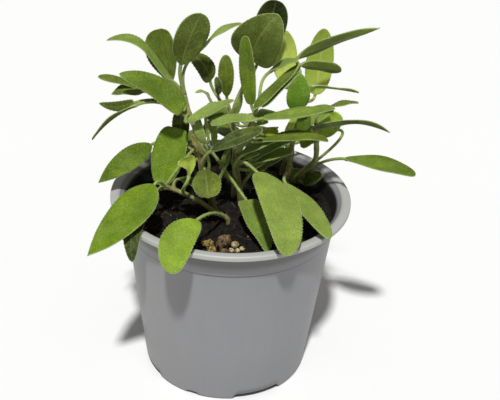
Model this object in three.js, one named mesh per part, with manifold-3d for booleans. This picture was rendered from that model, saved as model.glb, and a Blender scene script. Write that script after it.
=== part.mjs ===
// A young sage plant in a round grey nursery pot. Millimetres, +Z up.
// The origin is the middle of the pot's underside, and -Y is the front.
import * as THREE from 'three';
import { mergeVertices } from 'three/addons/utils/BufferGeometryUtils.js';
import Module from 'manifold-3d';

const wasm = await Module();
wasm.setup();

// Driving dimensions
const potHeight = 98;
const rimRadius = 60;
const lipHeight = 2.6;
const lipWidth = 4;
const edgeRound = 0.9;
const wallTopRadius = 53.8;
const baseRadius = 43;
const wallThickness = 1.3;
const collarHeight = 13;
const collarStep = 0.6;
const potSides = 36;
const floorThickness = 1.6;
const footInner = 27;
const footHeight = 5.4;
const footQuarters = [0, 90, 180, 270];
const wideDrain = { angle: 25, halfLength: 12.5, height: 3.4 };
const narrowDrain = { angle: -20.5, halfLength: 3.2, height: 2 };
const drainHoleRadius = 3.5;
const drainHoleRing = 36;
const soilLevel = 88;
const soilBump = 1.3;
const soilRings = 7;
const clearance = 0.3;
const rootDepth = 12;
const bladeThickness = 0.8;
const leastHalfWidth = 0.6;
const stemSides = 6;
const stemTaper = 0.75;
const scallopDepth = 0.35;
const finestDetail = 0.03;

// Colours
const potGrey = { color: 0x8b8c8d, roughness: 0.55, metalness: 0 };
const soilBlack = { color: 0x1d1814, roughness: 0.98, metalness: 0 };
const sageGreen = { color: 0x7f9a45, roughness: 0.85, metalness: 0 };
const barkBrown = { color: 0x5d4630, roughness: 0.95, metalness: 0 };
const crumbYellow = { color: 0xa88a3c, roughness: 0.95, metalness: 0 };
const gritPale = { color: 0xb5a478, roughness: 0.9, metalness: 0 };

// Solids

function toSolid(geometry) {
  const bare = geometry.clone();
  bare.deleteAttribute('normal');
  bare.deleteAttribute('uv');
  const merged = mergeVertices(bare, 1e-4);
  return new wasm.Manifold(new wasm.Mesh({
    numProp: 3,
    vertProperties: new Float32Array(merged.attributes.position.array),
    triVerts: new Uint32Array(merged.index.array),
  }));
}

function toGeometry(solid) {
  const mesh = solid.getMesh();
  const geometry = new THREE.BufferGeometry();
  geometry.setAttribute('position', new THREE.BufferAttribute(mesh.vertProperties, 3));
  geometry.setIndex(new THREE.BufferAttribute(mesh.triVerts, 1));
  geometry.computeVertexNormals();
  return geometry;
}

function fuse(solids) {
  return solids.reduce((whole, solid) => whole.add(solid));
}

// The largest body, without the slivers, scraps and sealed hollows that fusing may leave.
function wholeBody(solid) {
  const pieces = solid.simplify(finestDetail).decompose();
  return pieces.reduce((largest, piece) => (piece.volume() > largest.volume() ? piece : largest));
}

// A closed skin over equal rings of points. The second half of each ring is
// split along the same diagonals as the first, so a thin blade's faces stay alike.
function loft(rings) {
  const size = rings[0].length;
  const positions = rings.flat().flatMap((point) => point.toArray());
  const index = [];
  for (let ring = 0; ring < rings.length - 1; ring += 1) {
    for (let k = 0; k < size; k += 1) {
      const next = (k + 1) % size;
      const a = ring * size + k;
      const b = ring * size + next;
      const c = a + size;
      const d = b + size;
      if (k < size / 2) {
        index.push(a, b, d, a, d, c);
      } else {
        index.push(a, b, c, b, d, c);
      }
    }
  }
  const last = (rings.length - 1) * size;
  for (let k = 1; k < size - 1; k += 1) {
    index.push(0, k + 1, k);
    index.push(last, last + k, last + k + 1);
  }
  const geometry = new THREE.BufferGeometry();
  geometry.setAttribute('position', new THREE.Float32BufferAttribute(positions, 3));
  geometry.setIndex(index);
  return geometry;
}

function taperedTube(points, startRadius, endRadius, steps, sides) {
  const curve = new THREE.CatmullRomCurve3(points);
  const frames = curve.computeFrenetFrames(steps, false);
  const rings = [];
  for (let step = 0; step <= steps; step += 1) {
    const t = step / steps;
    const centre = curve.getPointAt(t);
    const radius = THREE.MathUtils.lerp(startRadius, endRadius, t);
    const ring = [];
    for (let side = 0; side < sides; side += 1) {
      const angle = side / sides * 2 * Math.PI;
      ring.push(centre.clone()
        .addScaledVector(frames.normals[step], radius * Math.cos(angle))
        .addScaledVector(frames.binormals[step], radius * Math.sin(angle)));
    }
    rings.push(ring);
  }
  return loft(rings);
}

// Leaves

// How fast each form of leaf widens from its base and narrows to its tip.
const leafForms = {
  oval: [0.6, 0.45],
  round: [0.45, 0.4],
  egg: [0.4, 0.55],
  broad: [0.65, 0.35],
  blunt: [0.4, 0.25],
  heart: [0.25, 0.6],
  pointed: [0.6, 1],
  strap: [0.3, 0.35],
};

// The leaf's own directions: along, across and out of its upper side.
function leafFrame(leaf) {
  const base = new THREE.Vector3(...leaf.base);
  const along = new THREE.Vector3(...leaf.tip).sub(base);
  const length = along.length();
  along.normalize();
  const across = along.clone().cross(new THREE.Vector3(...leaf.up)).normalize();
  const out = across.clone().cross(along);
  return { base, along, across, out, length };
}

function midribPoint(leaf, frame, u) {
  const lean = leaf.peak / (1 - leaf.peak);
  const bow = (t) => t ** lean * (1 - t);
  return frame.base.clone()
    .addScaledVector(frame.along, frame.length * u)
    .addScaledVector(frame.out, leaf.arch * bow(u) / bow(leaf.peak))
    .addScaledVector(frame.across, leaf.sway * 4 * u * (1 - u));
}

function halfWidth(leaf, u) {
  const [widen, narrow] = leafForms[leaf.form];
  const outline = (t) => t ** widen * (1 - t) ** narrow;
  const widest = widen / (widen + narrow);
  return leaf.width / 2 * outline(u) / outline(widest);
}

function bladeRings(leaf, frame) {
  const cup = THREE.MathUtils.degToRad(leaf.cup);
  const stations = Math.round(4 + frame.length / 14);
  const rings = [];
  for (let station = 1; station <= stations; station += 1) {
    const u = 0.5 - 0.5 * Math.cos(station / stations * Math.PI);
    const scallop = station % 2 ? 0 : scallopDepth;
    const reach = Math.max(halfWidth(leaf, u) - scallop, leastHalfWidth);
    const middle = midribPoint(leaf, frame, u);
    const row = [-1, 0, 1].map((side) => middle.clone()
      .addScaledVector(frame.across, side * reach * Math.cos(cup))
      .addScaledVector(frame.out, Math.abs(side) * reach * Math.sin(cup)
        + side * leaf.wave * Math.sin(u * 3 * Math.PI)));
    const lift = frame.out.clone().multiplyScalar(bladeThickness / 2);
    const top = row.map((point) => point.clone().add(lift));
    const bottom = row.map((point) => point.clone().sub(lift)).reverse();
    rings.push([...top, ...bottom]);
  }
  return rings;
}

// The stalk leaves the stem at leaf.at, 0 at the soil and 1 at the stem's top,
// and its rings turn to meet the blade.
function stalkRings(leaf, frame, stemCurve) {
  const start = stemCurve.getPoint(leaf.at);
  const span = start.distanceTo(frame.base);
  start.lerp(frame.base, 0.4 / span);
  const arrival = midribPoint(leaf, frame, 0.08).sub(frame.base).normalize();
  const bend = new THREE.CubicBezierCurve3(
    start,
    start.clone().addScaledVector(stemCurve.getTangent(leaf.at), span * leaf.rise),
    frame.base.clone().addScaledVector(arrival, -span * 0.4),
    frame.base,
  );
  const steps = Math.max(2, Math.ceil(span / 12));
  const rings = [];
  const across = frame.across.clone();
  for (let step = steps; step >= 0; step -= 1) {
    const along = bend.getTangent(step / steps);
    across.addScaledVector(along, -across.dot(along)).normalize();
    const out = across.clone().cross(along);
    const centre = bend.getPoint(step / steps);
    const radius = leaf.stalk / 2 * (0.9 + 0.1 * step / steps);
    const corners = [[-0.8, 0.5], [0, 1], [0.8, 0.5], [0.8, -0.5], [0, -1], [-0.8, -0.5]];
    rings.unshift(corners.map(([side, rise]) => centre.clone()
      .addScaledVector(across, side * radius)
      .addScaledVector(out, rise * radius)));
  }
  return rings;
}

function leafSkin(leaf, stemCurve) {
  const frame = leafFrame(leaf);
  return loft([...stalkRings(leaf, frame, stemCurve), ...bladeRings(leaf, frame)]);
}

const plainLeaf = {
  up: [0, 0, 1], form: 'oval', arch: 2, peak: 0.5, sway: 0, cup: 12, wave: 0.3, stalk: 1.6, rise: 0.3,
};

// Leafy stems. A leaf holds where its blade starts and ends, its width, where its
// stalk leaves the stem, and the way that its upper side looks.
const stems = {
  low_stem: {
    route: [[-1, -13], [-7, -14, 94], [-18, -15, 102], [-31, -14, 107]],
    girth: 2.6,
    leaves: [
      { at: 0.96, base: [-36, -23, 112.3], tip: [-62.2, -57, 93.1], width: 22.2, form: 'pointed',
        arch: -0.5, sway: -1, cup: 8 },
      { at: 0.93, base: [-40, -18, 102], tip: [-43.2, -50, 86.3], width: 9.5, arch: 9, peak: 0.72,
        sway: 1 },
      { at: 0.03, base: [-14.5, -42, 105.5], tip: [-24, -68, 93.5], width: 16, up: [0.15, -0.15, 1],
        form: 'round', arch: 3, sway: 2.5, rise: 0.1 },
      { at: 0.75, base: [-19.5, -22, 118], tip: [-24.5, -23, 125.5], width: 9.5,
        up: [0.65, -0.8, 0.5], form: 'broad', arch: 0, sway: 3.5, cup: 30 },
      { at: 0.9, base: [-26, -12, 110], tip: [-16, -18, 109], width: 6 },
      { at: 0.02, base: [-4, -8, 114], tip: [-1, -7, 125], width: 2.5, up: [0, -1, 0.2], rise: 0.6 },
    ],
  },
  left_stem: {
    route: [[-9, -2], [-13, -5, 104], [-15, -7, 120], [-18, -6, 134], [-22, -2, 143], [-24, 0, 150]],
    girth: 2.8,
    leaves: [
      { at: 0.98, base: [-25.5, -1, 165], tip: [-16.5, -3, 190.5], width: 16.5,
        up: [0.4, -0.8, 0.2], arch: 0.5, sway: -1, stalk: 2 },
      { at: 0.96, base: [-31, 9, 152], tip: [-36, 11, 177.5], width: 18, up: [-0.35, -0.75, 0.4],
        form: 'broad', arch: -0.5, sway: -1, cup: 25 },
      { at: 0.94, base: [-29.5, 2, 155], tip: [-60.5, 4, 173], width: 7.5, up: [-0.3, -0.1, 0.9],
        arch: 8, peak: 0.65 },
      { at: 0.92, base: [-24, -6, 144], tip: [-54, -3, 159.5], width: 13, up: [-0.2, -0.5, 0.85],
        form: 'heart', arch: 2.5, sway: 2 },
      { at: 0.9, base: [-41.5, 9, 146.5], tip: [-66, 8, 153], width: 5.5, up: [0, -0.35, 1], arch: 1 },
      { at: 0.85, base: [-44, 5, 148], tip: [-59.5, 6, 145], width: 13.5, up: [0, -0.2, 1],
        form: 'pointed', arch: 1, sway: 1.5 },
      { at: 0.7, base: [-47.5, -3, 145], tip: [-64, -3, 144], width: 5.5, up: [0, -0.9, 0.4],
        form: 'heart', arch: 0, sway: -1.5 },
      { at: 0.6, base: [-46, -5, 145], tip: [-66, -14, 130], width: 9, up: [-0.7, 0.3, 0.6] },
      { at: 0.35, base: [-40.5, 6, 119], tip: [-64, -14, 107], width: 12, up: [-0.05, -1.2, 0.85],
        form: 'pointed', arch: -4, sway: 1.5 },
      { at: 0.52, base: [-26, 9, 118], tip: [-26, 8, 138], width: 9, up: [0, -1, 0.1], form: 'broad' },
      { at: 0.74, base: [-21, -12, 141], tip: [0, -12, 153], width: 6, up: [0, -0.5, 0.85],
        form: 'egg', arch: 1 },
      { at: 0.65, base: [-15, -2, 140], tip: [-4, -4, 145], width: 9, up: [0, -0.8, 0.6] },
      { at: 0.48, base: [-13, -9, 114], tip: [-10, -27, 109], width: 14, up: [0, -0.4, 0.9],
        form: 'broad' },
      { at: 0.5, base: [8, -12, 100], tip: [19, -42, 89.5], width: 14, form: 'heart', sway: -1,
        wave: 1 },
      { at: 0.24, base: [-9.5, -13, 127], tip: [14, -17, 141], width: 8, up: [0.2, -0.5, 0.85],
        arch: 1.5 },
      { at: 0.97, base: [-14, 5, 173.5], tip: [2, 9, 182.5], width: 4, up: [0, -0.3, 0.9],
        arch: 2.5, rise: 0.6 },
      { at: 0.3, base: [-13, -10, 129], tip: [-17, -8, 140], width: 5, up: [-0.2, -1, 0.2] },
      { at: 0.38, base: [-9, -5, 126], tip: [-11, -4, 141], width: 4, up: [0.4, -1, 0.2] },
      { at: 0.46, base: [-34, -10, 105], tip: [-27.5, 4, 130], width: 18.5, form: 'blunt', arch: 0 },
      { at: 0.42, base: [-11.5, -9, 131.5], tip: [-13.5, -8, 143.5], width: 2, up: [0.1, -1, 0.2],
        form: 'strap', arch: 1 },
      { at: 0.26, base: [-14, -8, 132.5], tip: [-16.5, -7, 142], width: 2, up: [-0.1, -1, 0.2],
        form: 'strap', arch: 1 },
      { at: 0.16, base: [-13, -10, 123.5], tip: [-19.5, -9, 133], width: 3.5, up: [-0.2, -1, 0.3],
        form: 'strap', arch: 1 },
    ],
  },
  centre_stem: {
    route: [[5, 4], [3, 0, 106], [2, -4, 118], [6, -8, 132], [10, -10, 145]],
    girth: 2.8,
    leaves: [
      { at: 0.98, base: [8, -10, 150.5], tip: [4, -9, 183], width: 8, up: [-0.3, -0.9, 0],
        form: 'strap', arch: 1 },
      { at: 0.95, base: [11.5, -12, 144], tip: [-10.5, -13, 141], width: 6, up: [0, -0.4, 0.9],
        form: 'blunt' },
      { at: 0.93, base: [14, -12, 144.5], tip: [46.5, -15, 152.5], width: 9, up: [0, -0.15, 1],
        form: 'egg', arch: 0 },
      { at: 0.8, base: [11, -12, 132.5], tip: [45, -13, 135], width: 8, up: [0, -0.2, 1], arch: 3,
        peak: 0.6 },
      { at: 0.3, base: [12.5, -20, 120], tip: [28, -60, 100.5], width: 17.5, up: [-0.05, 0, 1],
        form: 'round', arch: 3.5, sway: -3, cup: 10, rise: 0.6 },
      { at: 0.12, base: [4.5, -9, 123], tip: [21, -9, 132.5], width: 9, up: [0, -0.2, 1] },
      { at: 0.6, base: [11, -3, 118], tip: [29, -4, 130], width: 5, up: [0, -0.3, 1], form: 'strap' },
      { at: 0.45, base: [12, -4, 117], tip: [29, -6, 125], width: 7, up: [0, -0.4, 1] },
      { at: 0.4, base: [5, -7, 119], tip: [13, -8, 124], width: 4, up: [0, -0.5, 1] },
      { at: 0.35, base: [10, -3, 113], tip: [22, -3, 124], width: 4, up: [0.2, -0.6, 0.8],
        form: 'strap' },
      { at: 0.96, base: [16, 0, 163], tip: [28.5, -4, 170.5], width: 8, up: [-0.2, -0.1, 0.9],
        arch: 1, rise: 0.6 },
      { at: 0.85, base: [15, -7, 134], tip: [21.5, -8, 136.5], width: 4.5, up: [0, -0.8, 0.6] },
      { at: 0.9, base: [12, -7, 139], tip: [16.5, -8, 141], width: 2.5, up: [0, -0.8, 0.6] },
      { at: 0.03, base: [-5, -1, 112.5], tip: [-1.5, 0, 123], width: 3, up: [0, -0.8, 0.6], rise: 0.6 },
      { at: 0.2, base: [0.5, -5, 119], tip: [2.5, -4, 126.5], width: 2.5, up: [0, -1, 0.2],
        form: 'strap', rise: 0.6 },
      { at: 0.06, base: [12, 0, 112.5], tip: [23.5, 1, 126.5], width: 3.5, up: [0, -0.7, 0.7],
        form: 'strap', arch: 1 },
      { at: 0.3, base: [2.5, -7, 125], tip: [9, -7, 131.5], width: 2, up: [0, -0.8, 0.6],
        form: 'strap', arch: 1 },
    ],
  },
  back_stem: {
    route: [[1, 14], [1, 10, 112], [-1, 6, 137]],
    girth: 2.6,
    leaves: [
      { at: 0.98, base: [7.5, 5, 166], tip: [18, -2, 191.5], width: 25, up: [-0.1, -0.9, 0],
        form: 'egg', arch: 3, sway: -2.5, cup: 20 },
      { at: 0.97, base: [10, 13, 162], tip: [17, 9, 194.5], width: 16.5, up: [0.2, -0.95, 0.2],
        form: 'round', arch: -4, sway: 1.5 },
      { at: 0.95, base: [-4, 6, 147], tip: [-5, 6, 168], width: 8, up: [0, -1, 0] },
      { at: 0.93, base: [-12.5, 13, 151.5], tip: [-22.5, 13, 165], width: 10, up: [0.3, -0.8, 0.5],
        form: 'egg', sway: 1.5 },
      { at: 0.9, base: [-8, 3, 149], tip: [-9, 3, 158], width: 4, up: [0.3, -1, 0] },
      { at: 0.85, base: [0, 2, 138], tip: [3, 1, 151], width: 4, up: [0, -1, 0.2] },
      { at: 0.75, base: [-12, 4, 146], tip: [-19, 4, 149], width: 3 },
    ],
  },
  tall_stem: {
    route: [[27, 15], [28.3, 8, 110.5], [29.2, 4, 130], [28.8, 1, 155], [29, 0, 167]],
    girth: 2.5,
    leaves: [
      { at: 0.98, base: [28.5, 0, 170.5], tip: [65, 2, 186], width: 9, up: [-0.3, 0.8, 0.55],
        form: 'pointed', arch: 1.5 },
      { at: 0.97, base: [30, -1, 167.5], tip: [49, -2, 166], width: 8.5, up: [0, 0.8, 0.5], arch: 0.5 },
      { at: 0.96, base: [29, -2, 167.5], tip: [9.5, -15, 150.5], width: 7, up: [-0.5, -0.4, 0.7],
        arch: 0 },
      { at: 0.94, base: [30, -3, 164], tip: [29, -4, 146], width: 11.5, up: [0.1, -1, 0.2] },
      { at: 0.8, base: [24, 20, 150], tip: [22, 22, 176], width: 13, up: [0, 1, 0.2], form: 'egg' },
      { at: 0.65, base: [39, 16, 146], tip: [41, 18, 179], width: 14, up: [0.1, 1, 0.2], form: 'egg' },
      { at: 0.85, base: [35.5, -2, 157.5], tip: [58, -3, 156], width: 6, up: [0, 0.45, 0.85],
        arch: 0.5 },
      { at: 0.4, base: [31.5, 7, 131], tip: [48, 9, 142], width: 11, up: [-0.4, -0.4, 0.8] },
      { at: 0.2, base: [27, -8, 108], tip: [47, -44, 100.5], width: 11, sway: 0.5, rise: 0 },
      { at: 0.92, base: [28, -3, 164], tip: [13, -13, 150.5], width: 4.5, up: [-0.5, -0.5, 0.7],
        arch: 0 },
      { at: 0.3, base: [25.5, -2, 133], tip: [29.5, -2, 143], width: 3.5, up: [0, -1, 0.2],
        form: 'strap', arch: 1 },
      { at: 0.4, base: [31.5, 3, 131.5], tip: [34.5, 3, 143], width: 8.5, up: [0, -0.9, 0.3] },
      { at: 0.16, base: [24.5, 6, 116], tip: [14, 4, 109], width: 3, up: [0, -0.7, 0.7],
        form: 'strap', arch: 1 },
      { at: 0.3, base: [25.5, 9, 121.5], tip: [18.5, 9, 116], width: 4, up: [0, -0.6, 0.8], arch: 1 },
    ],
  },
  right_stem: {
    route: [[31, 26], [36, 16, 103], [41, 6, 115], [40, -2, 132]],
    girth: 3.2,
    leaves: [
      { at: 0.02, base: [55.5, 3, 118], tip: [89, -8, 116.5], width: 13, up: [0, -0.1, 1], arch: 3,
        sway: 2.5, rise: 0 },
      { at: 0.55, base: [52, 15, 128], tip: [41.5, 16, 134], width: 18, up: [-0.3, 0.75, 0.3],
        form: 'egg', arch: -0.5, sway: 1.5, rise: 0.1 },
      { at: 0.98, base: [38, -5, 137.5], tip: [74, -8, 138.5], width: 6.5, up: [0.05, 0.65, 0.55],
        form: 'heart', arch: 4.5, peak: 0.6, sway: -0.5 },
      { at: 0.96, base: [43, -6, 148], tip: [58, -6, 152], width: 7, up: [0, 0.1, 1], arch: 1 },
      { at: 0.85, base: [41, 5, 128], tip: [33, 2, 124], width: 6, up: [0, -0.6, 0.8] },
      { at: 0.1, base: [36, 24, 92.2], tip: [30.5, 23, 100], width: 8, up: [0, -0.7, 0.7] },
      { at: 0.12, base: [37.5, 20, 94], tip: [46, 16, 102], width: 7.5, up: [0, -0.7, 0.7] },
      { at: 0.05, base: [30, 24, 103.5], tip: [30.5, 24, 113.5], width: 2, up: [0, -1, 0.1],
        form: 'strap', rise: 0.6 },
    ],
  },
  rear_stem: {
    route: [[8, 34], [9, 37, 106], [8, 40, 116]],
    girth: 2.4,
    leaves: [
      { at: 0.6, base: [2, 42, 106], tip: [-14, 64, 103], width: 15 },
      { at: 0.7, base: [14, 44, 108], tip: [18, 70, 101], width: 14 },
      { at: 0.98, base: [2, 38, 117], tip: [-16, 46, 120], width: 12 },
      { at: 0.96, base: [12, 40, 118], tip: [22, 54, 118], width: 12 },
      { at: 0.93, base: [6, 44, 115], tip: [4, 62, 112], width: 13 },
    ],
  },
  rear_left_stem: {
    route: [[-16, 24], [-18, 26, 102], [-20, 28, 110]],
    girth: 2.2,
    leaves: [
      { at: 0.5, base: [-24, 22, 101], tip: [-40, 34, 108], width: 13 },
      { at: 0.98, base: [-22, 32, 108], tip: [-30, 56, 102], width: 14 },
      { at: 0.96, base: [-16, 30, 113], tip: [-8, 40, 118], width: 9 },
    ],
  },
  rear_right_stem: {
    route: [[26, 40], [28, 40, 100], [30, 40, 108]],
    girth: 2.2,
    leaves: [
      { at: 0.9, base: [34, 40, 108], tip: [45, 50, 112], width: 12 },
      { at: 0.8, base: [30, 46, 104], tip: [36, 68, 101], width: 13 },
    ],
  },
};

// The first point of a route is where the stem stands in the soil.
function stemPoints(stem) {
  const [[x, y], ...rest] = stem.route;
  return [[x, y, soilLevel - rootDepth], [x, y, soilLevel - 5], [x, y, soilLevel + 2], ...rest]
    .map((point) => new THREE.Vector3(...point));
}

function leafyStem(stem) {
  const points = stemPoints(stem);
  const above = new THREE.CatmullRomCurve3(points.slice(2));
  const radius = stem.girth / 2;
  const stalk = taperedTube(points, radius, radius * stemTaper, points.length * 2, stemSides);
  const leaves = stem.leaves.map((given) => ({ ...plainLeaf, ...given }));
  return wholeBody(fuse([stalk, ...leaves.map((leaf) => leafSkin(leaf, above))].map(toSolid)));
}

// Pot

function wallRadius(z) {
  return THREE.MathUtils.mapLinear(z, 0, potHeight - lipHeight, baseRadius, wallTopRadius);
}

function revolve(points) {
  const outline = points.map(([radius, z]) => new THREE.Vector2(radius, z));
  return toSolid(new THREE.LatheGeometry(outline, potSides).rotateX(Math.PI / 2));
}

// A channel under the foot, with sloping ends, that opens through the wall.
function drainChannel(drain, turn) {
  const { halfLength, height } = drain;
  const slope = height * 0.6;
  const section = new THREE.Shape([
    new THREE.Vector2(-halfLength - slope, -height),
    new THREE.Vector2(halfLength + slope, -height),
    new THREE.Vector2(halfLength - slope, height),
    new THREE.Vector2(-halfLength + slope, height),
  ]);
  const depth = baseRadius - footInner + edgeRound;
  const cut = new THREE.ExtrudeGeometry(section, { depth, bevelEnabled: false });
  const angle = THREE.MathUtils.degToRad(turn + drain.angle);
  return toSolid(cut.rotateX(Math.PI / 2).translate(0, -footInner - 4, 0).rotateZ(angle));
}

function drainHole(turn) {
  const hole = new THREE.CylinderGeometry(drainHoleRadius, drainHoleRadius, footHeight * 3, 16);
  const angle = THREE.MathUtils.degToRad(turn + wideDrain.angle);
  return toSolid(hole.rotateX(Math.PI / 2).translate(0, -drainHoleRing, 0).rotateZ(angle));
}

function pot() {
  const lipBottom = potHeight - lipHeight;
  const collarBottom = lipBottom - collarHeight;
  const mouth = rimRadius - lipWidth;
  const outline = [
    [0, 0],
    [baseRadius - edgeRound, 0],
    [baseRadius, edgeRound],
    [wallRadius(collarBottom), collarBottom],
    [wallRadius(collarBottom) + collarStep, collarBottom + edgeRound],
    [wallTopRadius + collarStep, lipBottom],
    [rimRadius - edgeRound, lipBottom],
    [rimRadius, lipBottom + edgeRound],
    [rimRadius, potHeight - edgeRound],
    [rimRadius - edgeRound, potHeight],
    [mouth + edgeRound, potHeight],
    [mouth - edgeRound, potHeight - 1.5 * edgeRound],
    [wallTopRadius - wallThickness, lipBottom - edgeRound],
    [wallRadius(footHeight + 1) - wallThickness, footHeight + 1],
    [baseRadius - wallThickness - 0.6, footHeight],
    [footInner, footHeight],
    [footInner - 1.5, floorThickness],
    [0, floorThickness],
  ];
  const cuts = footQuarters.flatMap((turn) => [
    drainChannel(wideDrain, turn),
    drainChannel(narrowDrain, turn),
    drainHole(turn),
  ]);
  return revolve(outline).subtract(fuse(cuts));
}

// Soil

function crumble(x, y) {
  return Math.sin(0.31 * x + 1.3) * Math.cos(0.27 * y) * 0.6
    + Math.sin(0.83 * x + 0.47 * y) * 0.35
    + Math.sin(1.7 * x) * Math.sin(1.9 * y + 0.6) * 0.45;
}

function soilBlock() {
  const radius = wallRadius(soilLevel) - wallThickness - clearance;
  const edge = wallRadius(footHeight + 3) - wallThickness - clearance;
  const floor = floorThickness + clearance;
  const outline = [
    [0, floor],
    [footInner - 2, floor],
    [footInner - 0.5, footHeight + clearance],
    [edge - 2, footHeight + clearance],
    [edge, footHeight + 3],
  ];
  for (let ring = 0; ring <= soilRings; ring += 1) {
    outline.push([radius * (1 - ring / soilRings), soilLevel]);
  }
  const points = outline.map(([across, z]) => new THREE.Vector2(across, z));
  const geometry = new THREE.LatheGeometry(points, potSides).rotateX(Math.PI / 2);
  const place = geometry.attributes.position;
  for (let i = 0; i < place.count; i += 1) {
    const x = place.getX(i);
    const y = place.getY(i);
    if (Math.abs(place.getZ(i) - soilLevel) < 0.01) {
      const fade = Math.min(1, (radius - Math.hypot(x, y)) / 4);
      place.setZ(i, soilLevel + soilBump * fade * crumble(x, y));
    }
  }
  return toSolid(geometry);
}

// Bits of bark and grit lie in shallow hollows of their own shape.
const barkBits = {
  bark_chip: { place: [-1.6, -38.5, 92], size: [3.3, 2.4, 4.6], turn: [0.2, 0.3, 0.4], finish: barkBrown },
  bark_sliver: { place: [-1.2, -43, 90.2], size: [2.2, 1.2, 1.5], turn: [0, 0.1, 0.2], finish: barkBrown },
  crumb_left: { place: [-9, -37, 90], size: [2.8, 2.2, 1.8], turn: [0, 0, 0.5], finish: crumbYellow },
  crumb_front: { place: [-7, -42.5, 90], size: [2.3, 1.8, 1.6], turn: [0.3, 0, 1.2], finish: crumbYellow },
  pebble: { place: [3.6, -38, 90.8], size: [1.8, 1.6, 1.7], turn: [0, 0, 0], finish: gritPale },
  grain_left: { place: [2.2, -41.6, 89.9], size: [1.3, 1.1, 1.1], turn: [0, 0.4, 0.2], finish: gritPale },
  grain_middle: { place: [4.9, -41.6, 89.9], size: [1.2, 1.2, 1.1], turn: [0.5, 0, 1], finish: gritPale },
  grain_right: { place: [7, -39.5, 89.8], size: [1.2, 1.3, 1], turn: [0, 0, 2], finish: gritPale },
};

function lump(bit, grow) {
  const geometry = new THREE.OctahedronGeometry(1, 1);
  const place = geometry.attributes.position;
  const point = new THREE.Vector3();
  for (let i = 0; i < place.count; i += 1) {
    point.fromBufferAttribute(place, i);
    const dent = 1 + 0.16 * Math.sin(3.1 * point.x + bit.place[0]) * Math.cos(2.7 * point.y + point.z);
    point.multiplyScalar(dent);
    place.setXYZ(i, point.x, point.y, point.z);
  }
  return geometry.scale(...bit.size.map((side) => side + grow));
}

function bitHollow(bit) {
  const turned = new THREE.Matrix4().makeRotationFromEuler(new THREE.Euler(...bit.turn));
  return toSolid(lump(bit, clearance).applyMatrix4(turned).translate(...bit.place));
}

function stemHole(stem) {
  const [[x, y]] = stem.route;
  const bottom = soilLevel - rootDepth - clearance;
  const radius = stem.girth / 2 + clearance + 0.1;
  const hole = new THREE.CylinderGeometry(radius, radius, rootDepth * 2, 8);
  return toSolid(hole.rotateX(Math.PI / 2).translate(x, y, bottom + rootDepth));
}

function soil() {
  const holes = Object.values(stems).map(stemHole);
  const hollows = Object.values(barkBits).map(bitHollow);
  return soilBlock().subtract(fuse([...holes, ...hollows]));
}

function node(name, geometry, finish) {
  const mesh = new THREE.Mesh(geometry, new THREE.MeshStandardMaterial(finish));
  mesh.name = name;
  return mesh;
}

const bits = new THREE.Group();
for (const [name, bit] of Object.entries(barkBits)) {
  const mesh = node(name, lump(bit, 0), bit.finish);
  mesh.position.set(...bit.place);
  mesh.rotation.set(...bit.turn);
  bits.add(mesh);
}

const plant = new THREE.Group();
for (const [name, stem] of Object.entries(stems)) {
  plant.add(node(name, toGeometry(leafyStem(stem)), sageGreen));
}

const group = new THREE.Group();
group.add(node('pot', toGeometry(pot()), potGrey));
group.add(node('soil', toGeometry(soil()), soilBlack));
group.add(bits, plant);

export default group;
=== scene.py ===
import math
import random

import bmesh
import bpy
from mathutils import Color, Euler, Matrix, Vector, geometry, noise


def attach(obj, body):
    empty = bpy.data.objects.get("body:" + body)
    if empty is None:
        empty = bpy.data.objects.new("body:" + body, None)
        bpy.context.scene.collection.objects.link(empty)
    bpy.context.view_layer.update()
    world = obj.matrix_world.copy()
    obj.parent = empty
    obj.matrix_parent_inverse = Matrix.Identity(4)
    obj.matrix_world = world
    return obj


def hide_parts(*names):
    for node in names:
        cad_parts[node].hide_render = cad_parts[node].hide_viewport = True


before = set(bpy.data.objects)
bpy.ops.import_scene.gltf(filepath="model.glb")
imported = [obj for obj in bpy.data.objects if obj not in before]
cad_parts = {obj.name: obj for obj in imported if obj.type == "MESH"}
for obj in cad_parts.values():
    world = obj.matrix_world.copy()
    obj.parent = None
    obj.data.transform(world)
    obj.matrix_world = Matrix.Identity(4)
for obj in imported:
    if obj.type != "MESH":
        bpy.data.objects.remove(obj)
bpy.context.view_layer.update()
scene = bpy.context.scene
mm = 0.001
print("part loaded:", len(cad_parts), "nodes")


def tint(red, green, blue):
    # a colour as a picture editor shows it, 0 to 255
    return tuple(Color((red / 255, green / 255, blue / 255)).from_srgb_to_scene_linear())


# Materials

def startMaterial(name, sockets):
    material = bpy.data.materials.new(name)
    material.use_nodes = True
    shader = material.node_tree.nodes["Principled BSDF"]
    for socket, value in sockets.items():
        shader.inputs[socket].default_value = value
    return material, shader


def wire(material, kind, inputs, output=0, **settings):
    # one node: its settings, and each input as a number, a colour or another node's output
    made = material.node_tree.nodes.new("ShaderNode" + kind)
    for name, value in settings.items():
        setattr(made, name, value)
    for socket, value in inputs.items():
        if isinstance(value, bpy.types.NodeSocket):
            material.node_tree.links.new(value, made.inputs[socket])
        else:
            made.inputs[socket].default_value = value
    return made.outputs[output]


def sums(material, operation, *values):
    return wire(material, "Math", dict(enumerate(values)), operation=operation)


def plus(material, first, second):
    return sums(material, "ADD", first, second)


def times(material, first, second):
    return sums(material, "MULTIPLY", first, second)


def fade(material, value, start, end, low=0.0, high=1.0):
    # low where the value is at start, high where it is at end
    return wire(material, "MapRange", {"Value": value, "From Min": start, "From Max": end,
                                       "To Min": low, "To Max": high})


def blendColours(material, amount, first, second, how="MIX"):
    # each colour is a tint or another node's output
    first, second = [(*colour, 1) if isinstance(colour, tuple) else colour for colour in (first, second)]
    return wire(material, "Mix", {0: amount, 6: first, 7: second}, 2, data_type="RGBA", blend_type=how)


def partOf(material, place, axis):
    # one of a place's three numbers
    return wire(material, "SeparateXYZ", {0: place}, axis)


def plug(material, output, shader, socket):
    material.node_tree.links.new(output, shader.inputs[socket])


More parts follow.
